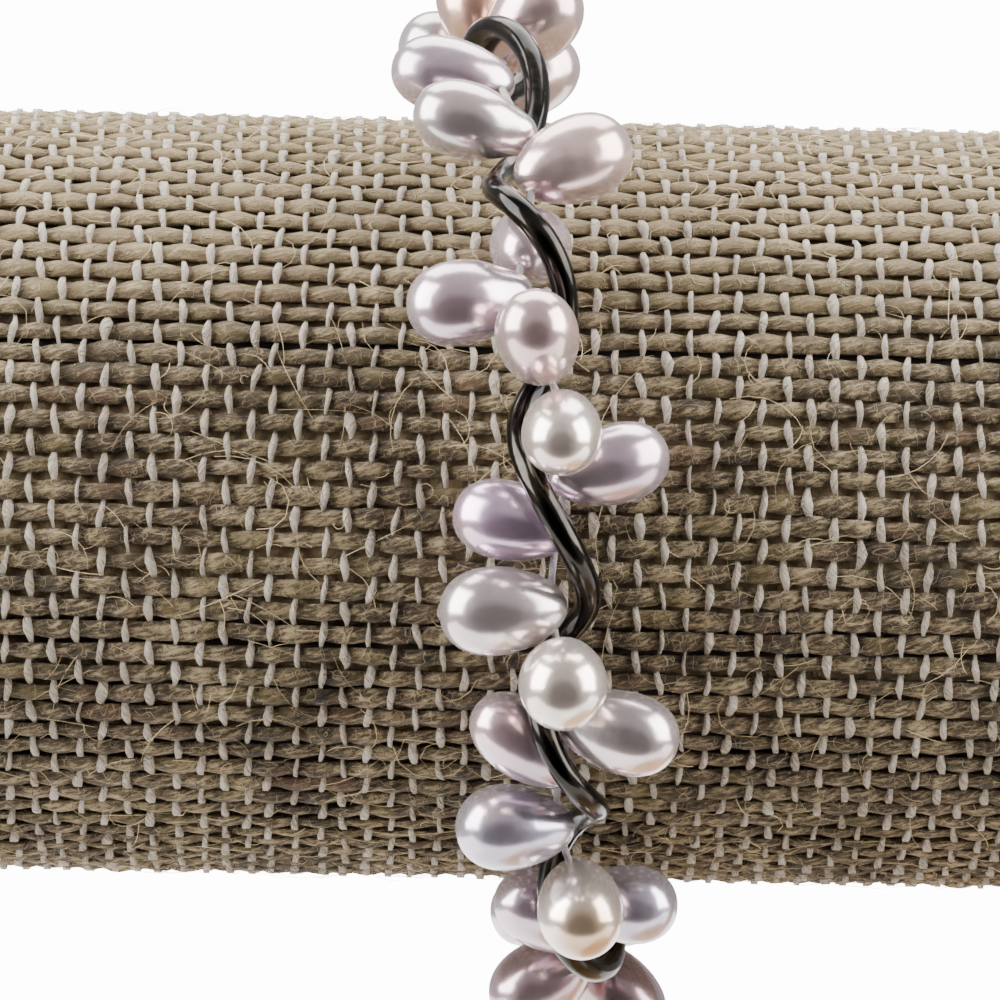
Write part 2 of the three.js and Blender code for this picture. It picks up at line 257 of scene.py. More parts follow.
def whole_route():
    """The rows above, and one more at each mouth of the clasp."""
    end_at = STRING_END / PITCH
    before = round((end_at + ROUTE[0][0]) / BACK_TURN)
    after = round((end_at - ROUTE[-1][0]) / BACK_TURN)
    first = (-end_at, ROUTE[0][1] - before, 0, 0, 0)
    last = (end_at, ROUTE[-1][1] + after, 0, 0, 0)
    return np.array([first, *ROUTE, last], float)


route = whole_route()


def route_value(s, column):
    """Smooth in-between value of one column at lengths s along the loop."""
    at = np.clip(s / PITCH, route[0, 0], route[-1, 0])
    i = np.clip(np.searchsorted(route[:, 0], at, side="left") - 1, 0, len(route) - 2)
    x, y = route[:, 0], route[:, column]
    low = np.maximum(np.arange(len(x)) - 1, 0)
    high = np.minimum(np.arange(len(x)) + 1, len(x) - 1)
    slope = (y[high] - y[low]) / (x[high] - x[low])
    span = x[i + 1] - x[i]
    u = (at - x[i]) / span
    rise = y[i + 1] - y[i]
    a, b = slope[i] * span, slope[i + 1] * span
    return y[i] + a * u + (3 * rise - 2 * a - b) * u**2 + (a + b - 2 * rise) * u**3


def strand(count, swing_out, swing_side, stray, in_cup):
    """Points of a strand from cup to cup, in the bracelet's own frame."""
    reach = STRING_END + CUP_INSERT
    s = np.linspace(-reach, reach, count)
    held = np.clip(s, -STRING_END, STRING_END)
    angle = held / LOOP_RADIUS
    out = np.stack([0 * angle, -np.cos(angle), -np.sin(angle)], -1)
    phase = 2 * np.pi * route_value(held, 1)
    u = np.clip((STRING_END - np.abs(held)) / ENTRY, 0, 1)
    free = u * u * (3 - 2 * u)
    lift = PEARL_WIDTH * route_value(held, 3) + swing_out * np.cos(phase)
    drift = PEARL_WIDTH * (route_value(held, 2) + stray * route_value(held, 4)) + swing_side * np.sin(phase)
    points = out * (LOOP_RADIUS + free * lift + (1 - free) * in_cup)[:, None]
    points[:, 0] += free * drift
    inside = np.abs(s) - STRING_END
    deep = inside > 0
    seat = -np.sign(s) * (BARREL_LENGTH / 2 - CUP_INSERT)
    mix = inside / CUP_INSERT
    points[deep, 2] += ((seat - points[:, 2]) * mix)[deep]
    return points, out


def place(points):
    """From the bracelet's own frame to the stand's."""
    points = np.asarray(points, float)
    c, s = math.cos(-SKEW), math.sin(-SKEW)
    x = c * points[:, 0] + s * points[:, 2]
    z = -s * points[:, 0] + c * points[:, 2]
    return np.stack([x - FROM_POST, points[:, 1], z + AXIS_HEIGHT], -1)


# Materials

def blank(name):
    """A new material, its node tree and its shader."""
    material = bpy.data.materials.new(name)
    material.use_nodes = True
    tree = material.node_tree
    return material, tree, tree.nodes["Principled BSDF"]


def node(tree, kind, **values):
    """A new node; each value goes to the input of that name, or else to the setting."""
    made = tree.nodes.new(kind)
    for key, value in values.items():
        if key in made.inputs:
            made.inputs[key].default_value = value
        else:
            setattr(made, key, value)
    return made


def ramp(tree, source, stops):
    """Colours by the source's value, from stops of position and colour."""
    made = tree.nodes.new("ShaderNodeValToRGB")
    elements = made.color_ramp.elements
    while len(elements) < len(stops):
        elements.new(0.5)
    for element, (position, colour) in zip(elements, stops):
        element.position = position
        element.color = colour
    tree.links.new(source, made.inputs["Fac"])
    return made.outputs["Color"]


def noise(tree, vector, scale, detail=3.0, roughness=0.5):
    """Cloudy values between 0 and 1."""
    made = node(tree, "ShaderNodeTexNoise", Scale=scale, Detail=detail, Roughness=roughness)
    tree.links.new(vector, made.inputs["Vector"])
    return made.outputs["Fac"]


def stretched(tree, source, scale):
    """Coordinates scaled by their own factor on each axis."""
    made = node(tree, "ShaderNodeMapping")
    made.inputs["Scale"].default_value = scale
    tree.links.new(source, made.inputs["Vector"])
    return made.outputs["Vector"]


def bump(tree, shader, height, strength, distance):
    """Lets the shader's normal follow a height; the distance is in metres."""
    made = node(tree, "ShaderNodeBump", Strength=strength, Distance=distance)
    tree.links.new(height, made.inputs["Height"])
    tree.links.new(made.outputs["Normal"], shader.inputs["Normal"])


def math_node(tree, operation, a, b):
    """One step of arithmetic on two values, each a socket or a number."""
    made = node(tree, "ShaderNodeMath", operation=operation)
    for socket, value in zip(made.inputs, (a, b)):
        if isinstance(value, (int, float)):
            socket.default_value = value
        else:
            tree.links.new(value, socket)
    return made.outputs[0]


def blend(tree, factor, low, high):
    """Mixes two colours, each a socket or a value."""
    made = node(tree, "ShaderNodeMix", data_type="RGBA")
    tree.links.new(factor, made.inputs["Factor"])
    for socket, value in ((made.inputs[6], low), (made.inputs[7], high)):
        if isinstance(value, tuple):
            socket.default_value = value
        else:
            tree.links.new(value, socket)
    return made.outputs[2]


def fade(tree, source, low, high, most):
    """0 below low, rising softly to most at high; high may lie under low."""
    made = node(tree, "ShaderNodeMapRange", interpolation_type="SMOOTHSTEP")
    made.inputs["From Min"].default_value = min(low, high)
    made.inputs["From Max"].default_value = max(low, high)
    made.inputs["To Min"].default_value = 0.0 if low < high else most
    made.inputs["To Max"].default_value = most if low < high else 0.0
    tree.links.new(source, made.inputs["Value"])
    return made.outputs["Result"]


def nacre(name, body, glow, patch=None):
    """Pearl: cloudy body colour, a painted rim reflection in the paler tint, and a soft strong gloss."""
    material, tree, shader = blank(name)
    coords = node(tree, "ShaderNodeTexCoord").outputs["Object"]
    cloud = noise(tree, coords, 260, 3.0, 0.55)
    dark = tuple(0.8 * v for v in body[:3]) + (1.0,)
    colour = ramp(tree, cloud, [(0.3, dark), (0.5, body), (0.72, glow)])
    # Painted reflection: the colour turns to the paler tint towards the rim, where the pale room would be
    # reflected.
    facing = node(tree, "ShaderNodeLayerWeight", Blend=0.42)
    rim = blend(tree, facing.outputs["Facing"], colour, glow)
    blush = fade(tree, noise(tree, coords, 120, 1.0, 0.4), 0.5, 0.72, 0.4)
    last = blend(tree, blush, rim, linear(226, 188, 176))
    if patch:
        spot_at, spot_size, spot_colour = patch
        near = node(tree, "ShaderNodeVectorMath", operation="DISTANCE")
        tree.links.new(coords, near.inputs[0])
        near.inputs[1].default_value = spot_at
        spot = fade(tree, near.outputs["Value"], spot_size, spot_size * 0.35, 0.85)
        last = blend(tree, spot, last, spot_colour)
    tree.links.new(last, shader.inputs["Base Color"])
    grain = noise(tree, coords, 900, 4.0, 0.6)
    rough = node(tree, "ShaderNodeMapRange")
    rough.inputs["To Min"].default_value = 0.18
    rough.inputs["To Max"].default_value = 0.26
    tree.links.new(grain, rough.inputs["Value"])
    tree.links.new(rough.outputs["Result"], shader.inputs["Roughness"])
    shader.inputs["Metallic"].default_value = 0.84
    shader.inputs["Coat Weight"].default_value = 0.3
    shader.inputs["Coat Roughness"].default_value = 0.2
    shader.inputs["Sheen Weight"].default_value = 0.08
    bump(tree, shader, noise(tree, coords, 420, 3.0, 0.5), 0.08, 0.0004)
    return material


def dark_metal(name, low, high, rough_low, rough_high, gloss):
    """Oxidised metal: near-black with worn lighter patches and fine marks."""
    material, tree, shader = blank(name)
    coords = node(tree, "ShaderNodeTexCoord").outputs["Object"]
    wear = noise(tree, coords, 330, 5.0, 0.62)
    tree.links.new(ramp(tree, wear, [(0.36, low), (0.66, high)]), shader.inputs["Base Color"])
    rough = node(tree, "ShaderNodeMapRange")
    rough.inputs["To Min"].default_value = rough_low
    rough.inputs["To Max"].default_value = rough_high
    tree.links.new(noise(tree, coords, 700, 4.0, 0.6), rough.inputs["Value"])
    tree.links.new(rough.outputs["Result"], shader.inputs["Roughness"])
    shader.inputs["Metallic"].default_value = 1.0
    shader.inputs["Coat Weight"].default_value = gloss
    shader.inputs["Coat Roughness"].default_value = 0.08
    bump(tree, shader, noise(tree, coords, 420, 3.0, 0.5), 0.12, 0.0005)
    return material


def hairlines(tree, vector, scale, width):
    """Thin curved lines, as fibres that lie across the yarn."""
    offset = math_node(tree, "SUBTRACT", noise(tree, vector, scale, 1.0, 0.5), 0.5)
    away = math_node(tree, "ABSOLUTE", offset, 0.0)
    return fade(tree, away, width, 0.0, 1.0)


def yarn(name, deep, middle, light, twist, hairy=0.0, stain=None):
    """Jute or cotton yarn, with painted light that turns it paler towards the bar's top: twisted fibres,
    slubs, stray tones and hairs.
    """
    material, tree, shader = blank(name)
    run = node(tree, "ShaderNodeAttribute", attribute_name="run").outputs["Vector"]
    coords = node(tree, "ShaderNodeTexCoord").outputs["Object"]
    parts = node(tree, "ShaderNodeSeparateXYZ")
    tree.links.new(run, parts.inputs[0])
    slanted = math_node(tree, "ADD", math_node(tree, "MULTIPLY", parts.outputs[0], twist), parts.outputs[1])
    joined = node(tree, "ShaderNodeCombineXYZ")
    tree.links.new(math_node(tree, "MULTIPLY", parts.outputs[0], 0.75), joined.inputs[0])
    tree.links.new(math_node(tree, "MULTIPLY", slanted, 6.5), joined.inputs[1])
    tree.links.new(parts.outputs[2], joined.inputs[2])
    fibre = noise(tree, joined.outputs[0], 1.5, 6.0, 0.72)
    patch = noise(tree, coords, 160, 4.0, 0.65)
    fibre_part = math_node(tree, "MULTIPLY", fibre, 0.66)
    patch_part = math_node(tree, "MULTIPLY", patch, 0.34)
    both = math_node(tree, "ADD", fibre_part, patch_part)
    colour = ramp(tree, both, [(0.39, deep), (0.49, middle), (0.6, light)])
    height = both
    if stain:
        tone = noise(tree, coords, 230, 2.0, 0.5)
        colour = blend(tree, fade(tree, tone, 0.53, 0.68, 0.42), colour, stain[0])
        colour = blend(tree, fade(tree, tone, 0.43, 0.3, 0.36), colour, stain[1])
    if hairy:
        coarse = hairlines(tree, coords, 420, 0.011)
        fine = hairlines(tree, coords, 800, 0.014)
        lines = math_node(tree, "MAXIMUM", coarse, fine)
        colour = blend(tree, math_node(tree, "MULTIPLY", lines, hairy), colour, light)
        height = math_node(tree, "ADD", both, math_node(tree, "MULTIPLY", lines, 0.35))
    # Painted light: the colour turns paler towards the top of the bar, where the top lamp falls.
    spot = node(tree, "ShaderNodeSeparateXYZ")
    tree.links.new(coords, spot.inputs[0])
    fade_from = (AXIS_HEIGHT + 4) / 1000
    fade_to = (AXIS_HEIGHT + BAR_RADIUS) / 1000
    painted_top_light = fade(tree, spot.outputs[2], fade_from, fade_to, 0.66)
    colour = blend(tree, painted_top_light, colour, light)
    tree.links.new(colour, shader.inputs["Base Color"])
    shader.inputs["Roughness"].default_value = 0.92
    shader.inputs["Sheen Weight"].default_value = 0.1
    shader.inputs["Sheen Roughness"].default_value = 0.5
    shader.inputs["Specular IOR Level"].default_value = 0.2
    bump(tree, shader, height, 1.0, 0.0008)
    return material


def burlap_cloth(name):
    """Flat burlap for the ground behind the yarns, with its weave in two directions."""
    material, tree, shader = blank(name)
    coords = node(tree, "ShaderNodeTexCoord").outputs["Object"]
    waves = []
    for axis in ("Y", "Z"):
        wave = node(tree, "ShaderNodeTexWave", Scale=76.0, Distortion=1.2, Detail=2.0)
        wave.bands_direction = axis
        wave.inputs["Detail Scale"].default_value = 3.0
        tree.links.new(coords, wave.inputs["Vector"])
        waves.append(wave.outputs["Fac"])
    weave = math_node(tree, "MAXIMUM", waves[0], waves[1])
    fibre = noise(tree, coords, 700, 4.0, 0.65)
    both = math_node(tree, "MULTIPLY", weave, math_node(tree, "ADD", fibre, 0.4))
    stops = [(0.1, linear(30, 23, 15)), (0.45, linear(70, 57, 39)), (0.85, linear(130, 113, 84))]
    tree.links.new(ramp(tree, both, stops), shader.inputs["Base Color"])
    shader.inputs["Roughness"].default_value = 0.95
    bump(tree, shader, both, 0.9, 0.0006)
    return material


def pale_wood(name):
    """Turned wood: the foot's grain runs along the bar, the post's runs upright."""
    material, tree, shader = blank(name)
    coords = node(tree, "ShaderNodeTexCoord").outputs["Object"]
    parts = node(tree, "ShaderNodeSeparateXYZ")
    tree.links.new(coords, parts.inputs[0])
    flat = noise(tree, stretched(tree, coords, (12, 420, 60)), 1.0, 6.0, 0.62)
    upright = noise(tree, stretched(tree, coords, (420, 420, 12)), 1.0, 6.0, 0.62)
    grain = node(tree, "ShaderNodeMix")
    foot_top = FOOT_THICKNESS / 1000
    above_foot = fade(tree, parts.outputs[2], foot_top + 0.0005, foot_top + 0.004, 1.0)
    tree.links.new(above_foot, grain.inputs["Factor"])
    tree.links.new(flat, grain.inputs["A"])
    tree.links.new(upright, grain.inputs["B"])
    stops = [(0.3, linear(140, 108, 76)), (0.5, linear(178, 145, 107)), (0.72, linear(202, 173, 135))]
    tree.links.new(ramp(tree, grain.outputs[0], stops), shader.inputs["Base Color"])
    shader.inputs["Roughness"].default_value = 0.45
    bump(tree, shader, grain.outputs[0], 0.25, 0.0004)
    return material


# Camera, floor and light

def add_camera():
    """A long lens in front of the bracelet, turned and rolled by about a degree."""
    back = Vector((math.sin(CAMERA_TURN), -math.cos(CAMERA_TURN), 0))
    side = Vector((math.cos(CAMERA_TURN), math.sin(CAMERA_TURN), 0))
    up = Vector((0, 0, 1))
    right = math.cos(CAMERA_ROLL) * side + math.sin(CAMERA_ROLL) * up
    top = -math.sin(CAMERA_ROLL) * side + math.cos(CAMERA_ROLL) * up
    camera = bpy.data.cameras.new("camera")
    camera.sensor_width = SENSOR_WIDTH
    camera.lens = SENSOR_WIDTH * FOCAL_SHARE
    camera.clip_start = 0.01
    camera.clip_end = 20.0
    obj = bpy.data.objects.new("camera", camera)
    spot = VIEW_CENTRE - CAMERA_LEFT * right + CAMERA_DISTANCE * back
    rows = [[right[i], top[i], back[i], spot[i]] for i in range(3)] + [[0, 0, 0, 1]]
    bpy.context.scene.collection.objects.link(obj)
    obj.matrix_world = Matrix(rows)
    bpy.context.scene.camera = obj


def add_floor():
    """A sheet of pale paper under the stand, most of it behind."""
    half, front, rear, height = 300, -90, 380, -0.02
    corners = [(-half, front), (half, front), (half, rear), (-half, rear)]
    floor = make("floor", [(x, y, height) for x, y in corners], [[0, 1, 2, 3]])
    material, tree, shader = blank("floor_paper")
    coords = node(tree, "ShaderNodeTexCoord").outputs["Object"]
    tone = ramp(tree, noise(tree, coords, 9, 3.0), [(0.3, (0.8, 0.8, 0.8, 1)), (0.7, (0.84, 0.84, 0.83, 1))])
    tree.links.new(tone, shader.inputs["Base Color"])
    shader.inputs["Roughness"].default_value = 0.8
    floor.data.materials.append(material)


def add_softbox(name, direction, distance, width, height, power, colour):
    """A rectangular lamp that faces the bracelet from a direction and distance."""
    light = bpy.data.lights.new(name, "AREA")
    light.shape = "RECTANGLE"
    light.size = width
    light.size_y = height
    light.energy = power
    light.color = colour
    obj = bpy.data.objects.new(name, light)
    away = Vector(direction).normalized()
    obj.location = VIEW_CENTRE + away * distance
    obj.rotation_euler = away.to_track_quat("Z", "Y").to_euler()
    bpy.context.scene.collection.objects.link(obj)


def add_world():
    """A pale room with a dark patch on the photographer's side, seen only in reflections and as soft fill."""
    world = bpy.data.worlds.new("room")
    bpy.context.scene.world = world
    world.use_nodes = True
    tree = world.node_tree
    tree.nodes.clear()
    direction = node(tree, "ShaderNodeTexCoord").outputs["Generated"]
    facing = node(tree, "ShaderNodeVectorMath", operation="DOT_PRODUCT")
    tree.links.new(direction, facing.inputs[0])
    facing.inputs[1].default_value = Vector((0, -1, -0.42)).normalized()
    dark = node(tree, "ShaderNodeMapRange", interpolation_type="SMOOTHSTEP")
    dark.inputs["From Min"].default_value = 0.58
    dark.inputs["From Max"].default_value = 0.88
    tree.links.new(facing.outputs["Value"], dark.inputs["Value"])
    mix = node(tree, "ShaderNodeMix", data_type="RGBA")
    tree.links.new(dark.outputs["Result"], mix.inputs["Factor"])
    mix.inputs[6].default_value = (0.54, 0.51, 0.52, 1)
    mix.inputs[7].default_value = (0.02, 0.016, 0.012, 1)
    room = node(tree, "ShaderNodeBackground", Strength=1.0)
    tree.links.new(mix.outputs[2], room.inputs["Color"])
    plain = node(tree, "ShaderNodeBackground", Strength=BACKDROP_STRENGTH)
    plain.inputs["Color"].default_value = (1, 1, 1, 1)
    path = node(tree, "ShaderNodeLightPath")
    choose = node(tree, "ShaderNodeMixShader")
    tree.links.new(path.outputs["Is Camera Ray"], choose.inputs[0])
    tree.links.new(room.outputs[0], choose.inputs[1])
    tree.links.new(plain.outputs[0], choose.inputs[2])
    output = node(tree, "ShaderNodeOutputWorld")
    tree.links.new(choose.outputs[0], output.inputs["Surface"])


# Bracelet

NECKED = (12, 15)  # pearls with a waist near the slim end
SPOTTED = 25  # the pearl with a tan spot at its full end
TINTS = {
    "lavender": (linear(180, 160, 173), linear(220, 205, 213)),
    "pink": (linear(190, 163, 163), linear(228, 207, 204)),
    "cream": (linear(204, 189, 180), linear(238, 227, 219)),
    "silver": (linear(182, 169, 171), linear(222, 211, 211)),
    "mauve": (linear(154, 130, 134), linear(198, 178, 182)),
    "peach": (linear(204, 163, 143), linear(231, 203, 190)),
    "lilac": (linear(186, 160, 185), linear(223, 202, 220)),
    "slate": (linear(164, 157, 174), linear(207, 200, 213)),
}
PEARL_TINT = {
    7: "pink", 8: "silver", 9: "peach", 10: "pink", 11: "lavender", 12: "silver",
    13: "pink", 14: "lavender", 15: "lavender", 16: "pink", 17: "cream", 18: "lavender",
    19: "lilac", 20: "silver", 21: "cream", 22: "silver", 23: "lavender", 24: "slate",
    25: "cream", 26: "slate", 27: "lavender", 28: "mauve", 29: "mauve",
}
SPARE_TINTS = ["lavender", "silver", "pink", "slate", "cream", "mauve"]


def pearl_axis(solid):
    """A CAD pearl's slim tip, direction from there to its full end, length and width."""
    co = np.empty(len(solid.data.vertices) * 3, np.float32)
    solid.data.vertices.foreach_get("co", co)
    co = co.reshape(-1, 3).astype(float) * 1000
    spread = np.linalg.norm(co[:, None] - co[None], axis=-1)
    a, b = np.unravel_index(spread.argmax(), spread.shape)
    tip, end = co[a], co[b]
    length = spread[a, b]
    direction = (end - tip) / length
    along = (co - tip) @ direction
    across = np.linalg.norm(co - tip - along[:, None] * direction, axis=1)
    widest = along[across > 0.93 * across.max()].mean()
    if widest < length / 2:
        tip, direction = end, -direction
    return tip, direction, length, 2 * across.max()


def egg(name, solid, number):
    """A pearl in the place of its solid, with slight waves and grooves of its own."""
    tip, direction, length, width = pearl_axis(solid)
    t = np.linspace(0, np.pi, BEAD_BANDS + 1)
    turn = np.linspace(0, 2 * np.pi, BEAD_SIDES, endpoint=False)
    shape = np.sin(t) ** 0.94 * (1 - 0.17 * np.cos(t))
    shape *= (width / 2) / shape.max()
    local = np.random.default_rng(100 + number)
    if number in NECKED:
        neck = 0.1 * np.exp(-(((t - 0.95) / 0.34) ** 2))
        knob = 0.05 * np.exp(-(((t - 0.4) / 0.25) ** 2))
        shape *= 1 - neck + knob
    ripple = np.zeros((BEAD_BANDS + 1, BEAD_SIDES))
    for _ in range(5):
        around, along = local.integers(1, 4), local.integers(1, 4)
        phase = local.uniform(0, 2 * np.pi, 2)
        ripple += 0.006 * np.cos(around * turn[None] + phase[0]) * np.cos(along * t[:, None] + phase[1])
    groove = 0.0035 * local.uniform(0.2, 1.0) * np.cos(local.uniform(15, 22) * t + local.uniform(0, 6))
    radius = shape[:, None] * (1 + ripple + (groove * np.sin(t))[:, None])
    height = length / 2 * (1 - np.cos(t))
    hint = np.array([0.3, 0.5, 0.81]) if abs(direction[2]) < 0.8 else np.array([1.0, 0.1, 0])
    u = np.cross(direction, hint)
    u /= np.linalg.norm(u)
    v = np.cross(direction, u)
    ring = u[None, None] * np.cos(turn)[None, :, None] + v[None, None] * np.sin(turn)[None, :, None]
    verts = tip + direction * height[1:-1, None, None] + ring * radius[1:-1, :, None]
    verts = verts.reshape(-1, 3)
    base = len(verts)
    verts = np.vstack([verts, tip, tip + direction * length])
    j = np.arange(BEAD_SIDES)
    k = (j + 1) % BEAD_SIDES
    low = np.stack([np.full(BEAD_SIDES, base), k, j], -1)
    top = (BEAD_BANDS - 2) * BEAD_SIDES
    high = np.stack([np.full(BEAD_SIDES, base + 1), top + j, top + k], -1)
    return make(name, verts, rings(BEAD_BANDS - 1, BEAD_SIDES), np.vstack([low, high]))


def add_pearls():
    """Every pearl of the frame, each with the nacre of its tint."""
    made = {name: nacre("nacre_" + name, *pair) for name, pair in TINTS.items()}
    for name in sorted(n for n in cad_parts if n.startswith("pearl_")):
        number = int(name[-2:])
        tint = PEARL_TINT.get(number, SPARE_TINTS[number % len(SPARE_TINTS)])
        material = made[tint]
        if number == SPOTTED:
            low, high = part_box(name)
            spot = ((low.x + high.x) / 2 + 0.0004, low.y + 0.0003, low.z + 0.3 * (high.z - low.z))
            material = nacre("nacre_tan_spot", *TINTS[tint], patch=(spot, 0.0031, linear(176, 150, 118)))
        dress(egg("bead_" + name[-2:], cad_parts[name], number), material, "pearl", name)


def add_wire(material):
    """The wire, slightly flattened and dented along its way."""
    points, out = strand(WIRE_SAMPLES, WIRE_OUT, WIRE_SIDE, 0, CUP_RADIUS - SEAT_GAP - WIRE_RADIUS)
    turn = np.linspace(0, 2 * np.pi, WIRE_SIDES, endpoint=False)
    flat = wander(WIRE_SAMPLES, 60, 0.02)[:, None] * np.cos(2 * turn)[None]
    dents = np.stack([wander(WIRE_SAMPLES, 170, 0.012) for _ in range(WIRE_SIDES)], 1)
    dents = (dents + np.roll(dents, 1, 1) + np.roll(dents, -1, 1)) / 3
    radii = WIRE_RADIUS * (1 + flat + dents)
    verts, quads, tris, run = tube(points, radii, WIRE_SIDES, out)
    dress(make("wire", place(verts), quads, tris, run), material, "wire", "wire_spiral")


def add_thread(material):
    """The thread, with the ridges of its twist."""
    in_cup = -(CUP_RADIUS - 2 * SEAT_GAP - THREAD_RADIUS)
    points, out = strand(THREAD_SAMPLES, -SWAY, -SWAY, 1, in_cup)
    turn = np.linspace(0, 2 * np.pi, THREAD_SIDES, endpoint=False)
    length = np.linspace(0, THREAD_RUN, THREAD_SAMPLES)
    twist = turn[None] + length[:, None] * THREAD_TWIST
    radii = THREAD_RADIUS * (1 + 0.08 * np.cos(2 * twist))
    verts, quads, tris, run = tube(points, radii, THREAD_SIDES, out)
    dress(make("string", place(verts), quads, tris, run), material, "thread", "thread")


def quarter_round(centre_x, centre_z, radius, angles):
    """Profile points of an outer edge that turns from an end face into the side."""
    return [(centre_x + radius * math.sin(a), centre_z - radius * math.cos(a)) for a in angles]


def add_clasp(material):
    """A barrel with a cup in each end, two grooves near each end and a seam in the middle."""
    half = BARREL_LENGTH / 2
    r = BARREL_RADIUS
    edge = 0.4
    floor = CUP_DEPTH - half
    profile = [(0, floor), (CUP_RADIUS, floor), (CUP_RADIUS, -half + 0.1), (CUP_RADIUS + 0.1, -half)]
    profile += quarter_round(r - edge, -half + edge, edge, np.linspace(0.2, math.pi / 2, 6))
    for centre in (-0.62 * half, -0.5 * half):
        profile += [(r, centre - 0.25), (r - 0.22, centre - 0.1)]
        profile += [(r - 0.22, centre + 0.1), (r, centre + 0.25)]
    profile += [(r, -0.22), (r - 0.12, -0.14), (r - 0.2, -0.03)]
    mirrored = [(x, -z) for x, z in reversed(profile)]
    verts, quads, tris = lathe(profile + mirrored, BARREL_SIDES)
    dress(make("clasp", place(verts + [0, BARREL_OFFSET, 0]), quads, tris), material, "clasp", "barrel_clasp")


# Stand

def surface(length, radius):
    """Place along the bar, radius and tilt by length from the middle, round the soft edge."""
    straight = BAR_HALF - BAR_EDGE
    over = np.clip(np.abs(length) - straight, 0, None)
    bend = np.clip(over / BAR_EDGE, 0, math.pi / 2)
    rest = np.clip(over - BAR_EDGE * math.pi / 2, 0, None)
    x = np.sign(length) * (np.minimum(np.abs(length), straight) + BAR_EDGE * np.sin(bend))
    r = radius - BAR_EDGE * (1 - np.cos(bend)) - rest
    return x, r, bend


def yarn_mesh(centre, wide_dir, deep_dir, wide, deep, turn):
    """A yarn of the given section angles, 0 being its outer side, so that its seam lies underneath."""
    ring = (
        wide_dir[:, None] * (np.sin(turn)[None, :] * wide[:, None])[..., None]
        + deep_dir[:, None] * (np.cos(turn)[None, :] * deep[:, None])[..., None]
    )
    return (centre[:, None] + ring).reshape(-1, 3)


def yarn_run(length, turn, seed):
    """Length, share of the way across and yarn number of every vertex, for the fibres."""
    run = np.zeros((len(length), len(turn), 3))
    run[..., 0] = length[:, None]
    run[..., 1] = np.linspace(0, 1, len(turn))[None]
    run[..., 2] = seed
    return run.reshape(-1, 3)


def add_weft(material):
    """The thick yarns that run along the bar."""
    tucked_in = 2.2
    reach = BAR_HALF - BAR_EDGE + BAR_EDGE * math.pi / 2 + tucked_in
    count = WEFT_SAMPLES
    sides = len(WEFT_TURNS)
    length = np.linspace(-reach, reach, count)
    for part, rows in enumerate(np.array_split(np.arange(ROWS), 2)):
        verts, quads, runs = [], [], []
        for row in rows:
            wave = -(-1.0) ** row * np.cos(np.pi * length / WARP_PITCH)
            x, r, tilt = surface(length, GROUND + 0.12 * wave + wander(count, 90, 0.05))
            around = 2 * np.pi * row / ROWS + (wander(count, 50, 0.07) + 0.05 * rng.normal()) / BAR_RADIUS
            outward = np.stack([0 * x, -np.cos(around), -np.sin(around)], -1)
            sideways = np.stack([0 * x, np.sin(around), -np.cos(around)], -1)
            centre = np.stack([x, 0 * x, 0 * x], -1) + outward * r[:, None]
            centre[:, 2] += AXIS_HEIGHT
            lean = outward * np.cos(tilt)[:, None]
            lean[:, 0] += np.sign(length) * np.sin(tilt)
            fat = 0.96 + wander(count, 80, 0.11) + 0.08 * wave + 0.06 * rng.normal()
            wide = 0.74 * fat * np.clip(r / GROUND, 0.2, 1)
            deep = 0.42 * (1 + wander(count, 70, 0.12))
            quads.append(rings(count, sides, len(verts) * count * sides))
            verts.append(yarn_mesh(centre, sideways, lean, wide, deep, WEFT_TURNS))
            runs.append(yarn_run(length + 300, WEFT_TURNS, rng.uniform(0, 90)))
        obj = make(f"weft_yarns_{part + 1}", np.vstack(verts), np.vstack(quads), (), np.vstack(runs))
        dress(obj, material, "burlap")


def closed_wander(count, knots, amount):
    """A smooth random line that ends where it starts."""
    line = wander(count, knots, amount)
    back = np.linspace(0, 1, 12) ** 2
    line[-12:] = line[-12:] * (1 - back) + line[0] * back
    return line


def add_warp(material):
    """The pale yarns that go round the bar, over one thick yarn and under the next."""
    count = ROWS * WARP_SAMPLES_PER_ROW
    sides = len(WARP_TURNS)
    around = np.linspace(0, 2 * np.pi, count, endpoint=False)
    for part, group in enumerate(np.array_split(np.arange(WARPS), 2)):
        verts, quads, runs = [], [], []
        for index in group:
            number = index - WARPS // 2
            wave = (-1.0) ** number * np.cos(ROWS / 2 * around)
            lean = 0.11 * np.sin(ROWS / 2 * around + rng.uniform(0, 6))
            x = number * WARP_PITCH + closed_wander(count, 60, 0.1) + rng.normal(0, 0.07) + lean
            outward = np.stack([0 * around, -np.cos(around), -np.sin(around)], -1)
            centre = outward * (GROUND + 0.06 + 0.4 * wave + 0.03 * closed_wander(count, 90, 1.0))[:, None]
            centre[:, 0] += x
            centre[:, 2] += AXIS_HEIGHT
            taper = 0.66 + 0.5 * np.clip(wave, -0.2, 1)
            wide = (0.31 + 0.026 * rng.normal()) * (1 + closed_wander(count, 150, 0.24)) * taper
            sideways = np.tile([1.0, 0, 0], (count, 1))
            first = len(verts) * count * sides
            wide = np.clip(wide, 0.14, 0.6)
            deep = np.full(count, 0.27)
            verts.append(yarn_mesh(centre, sideways, outward, wide, deep, WARP_TURNS))
            i, j = np.meshgrid(np.arange(count), np.arange(sides), indexing="ij")
            k, n = (j + 1) % sides, (i + 1) % count
            loop = np.stack([i * sides + j, n * sides + j, n * sides + k, i * sides + k], -1)
            quads.append(loop.reshape(-1, 4)[:, ::-1] + first)
            length = np.abs(np.linspace(-89, 89, count)) + 3 * index
            runs.append(yarn_run(length, WARP_TURNS, rng.uniform(0, 90)))
        obj = make(f"warp_yarns_{part + 1}", np.vstack(verts), np.vstack(quads), (), np.vstack(runs))
        dress(obj, material, "burlap")


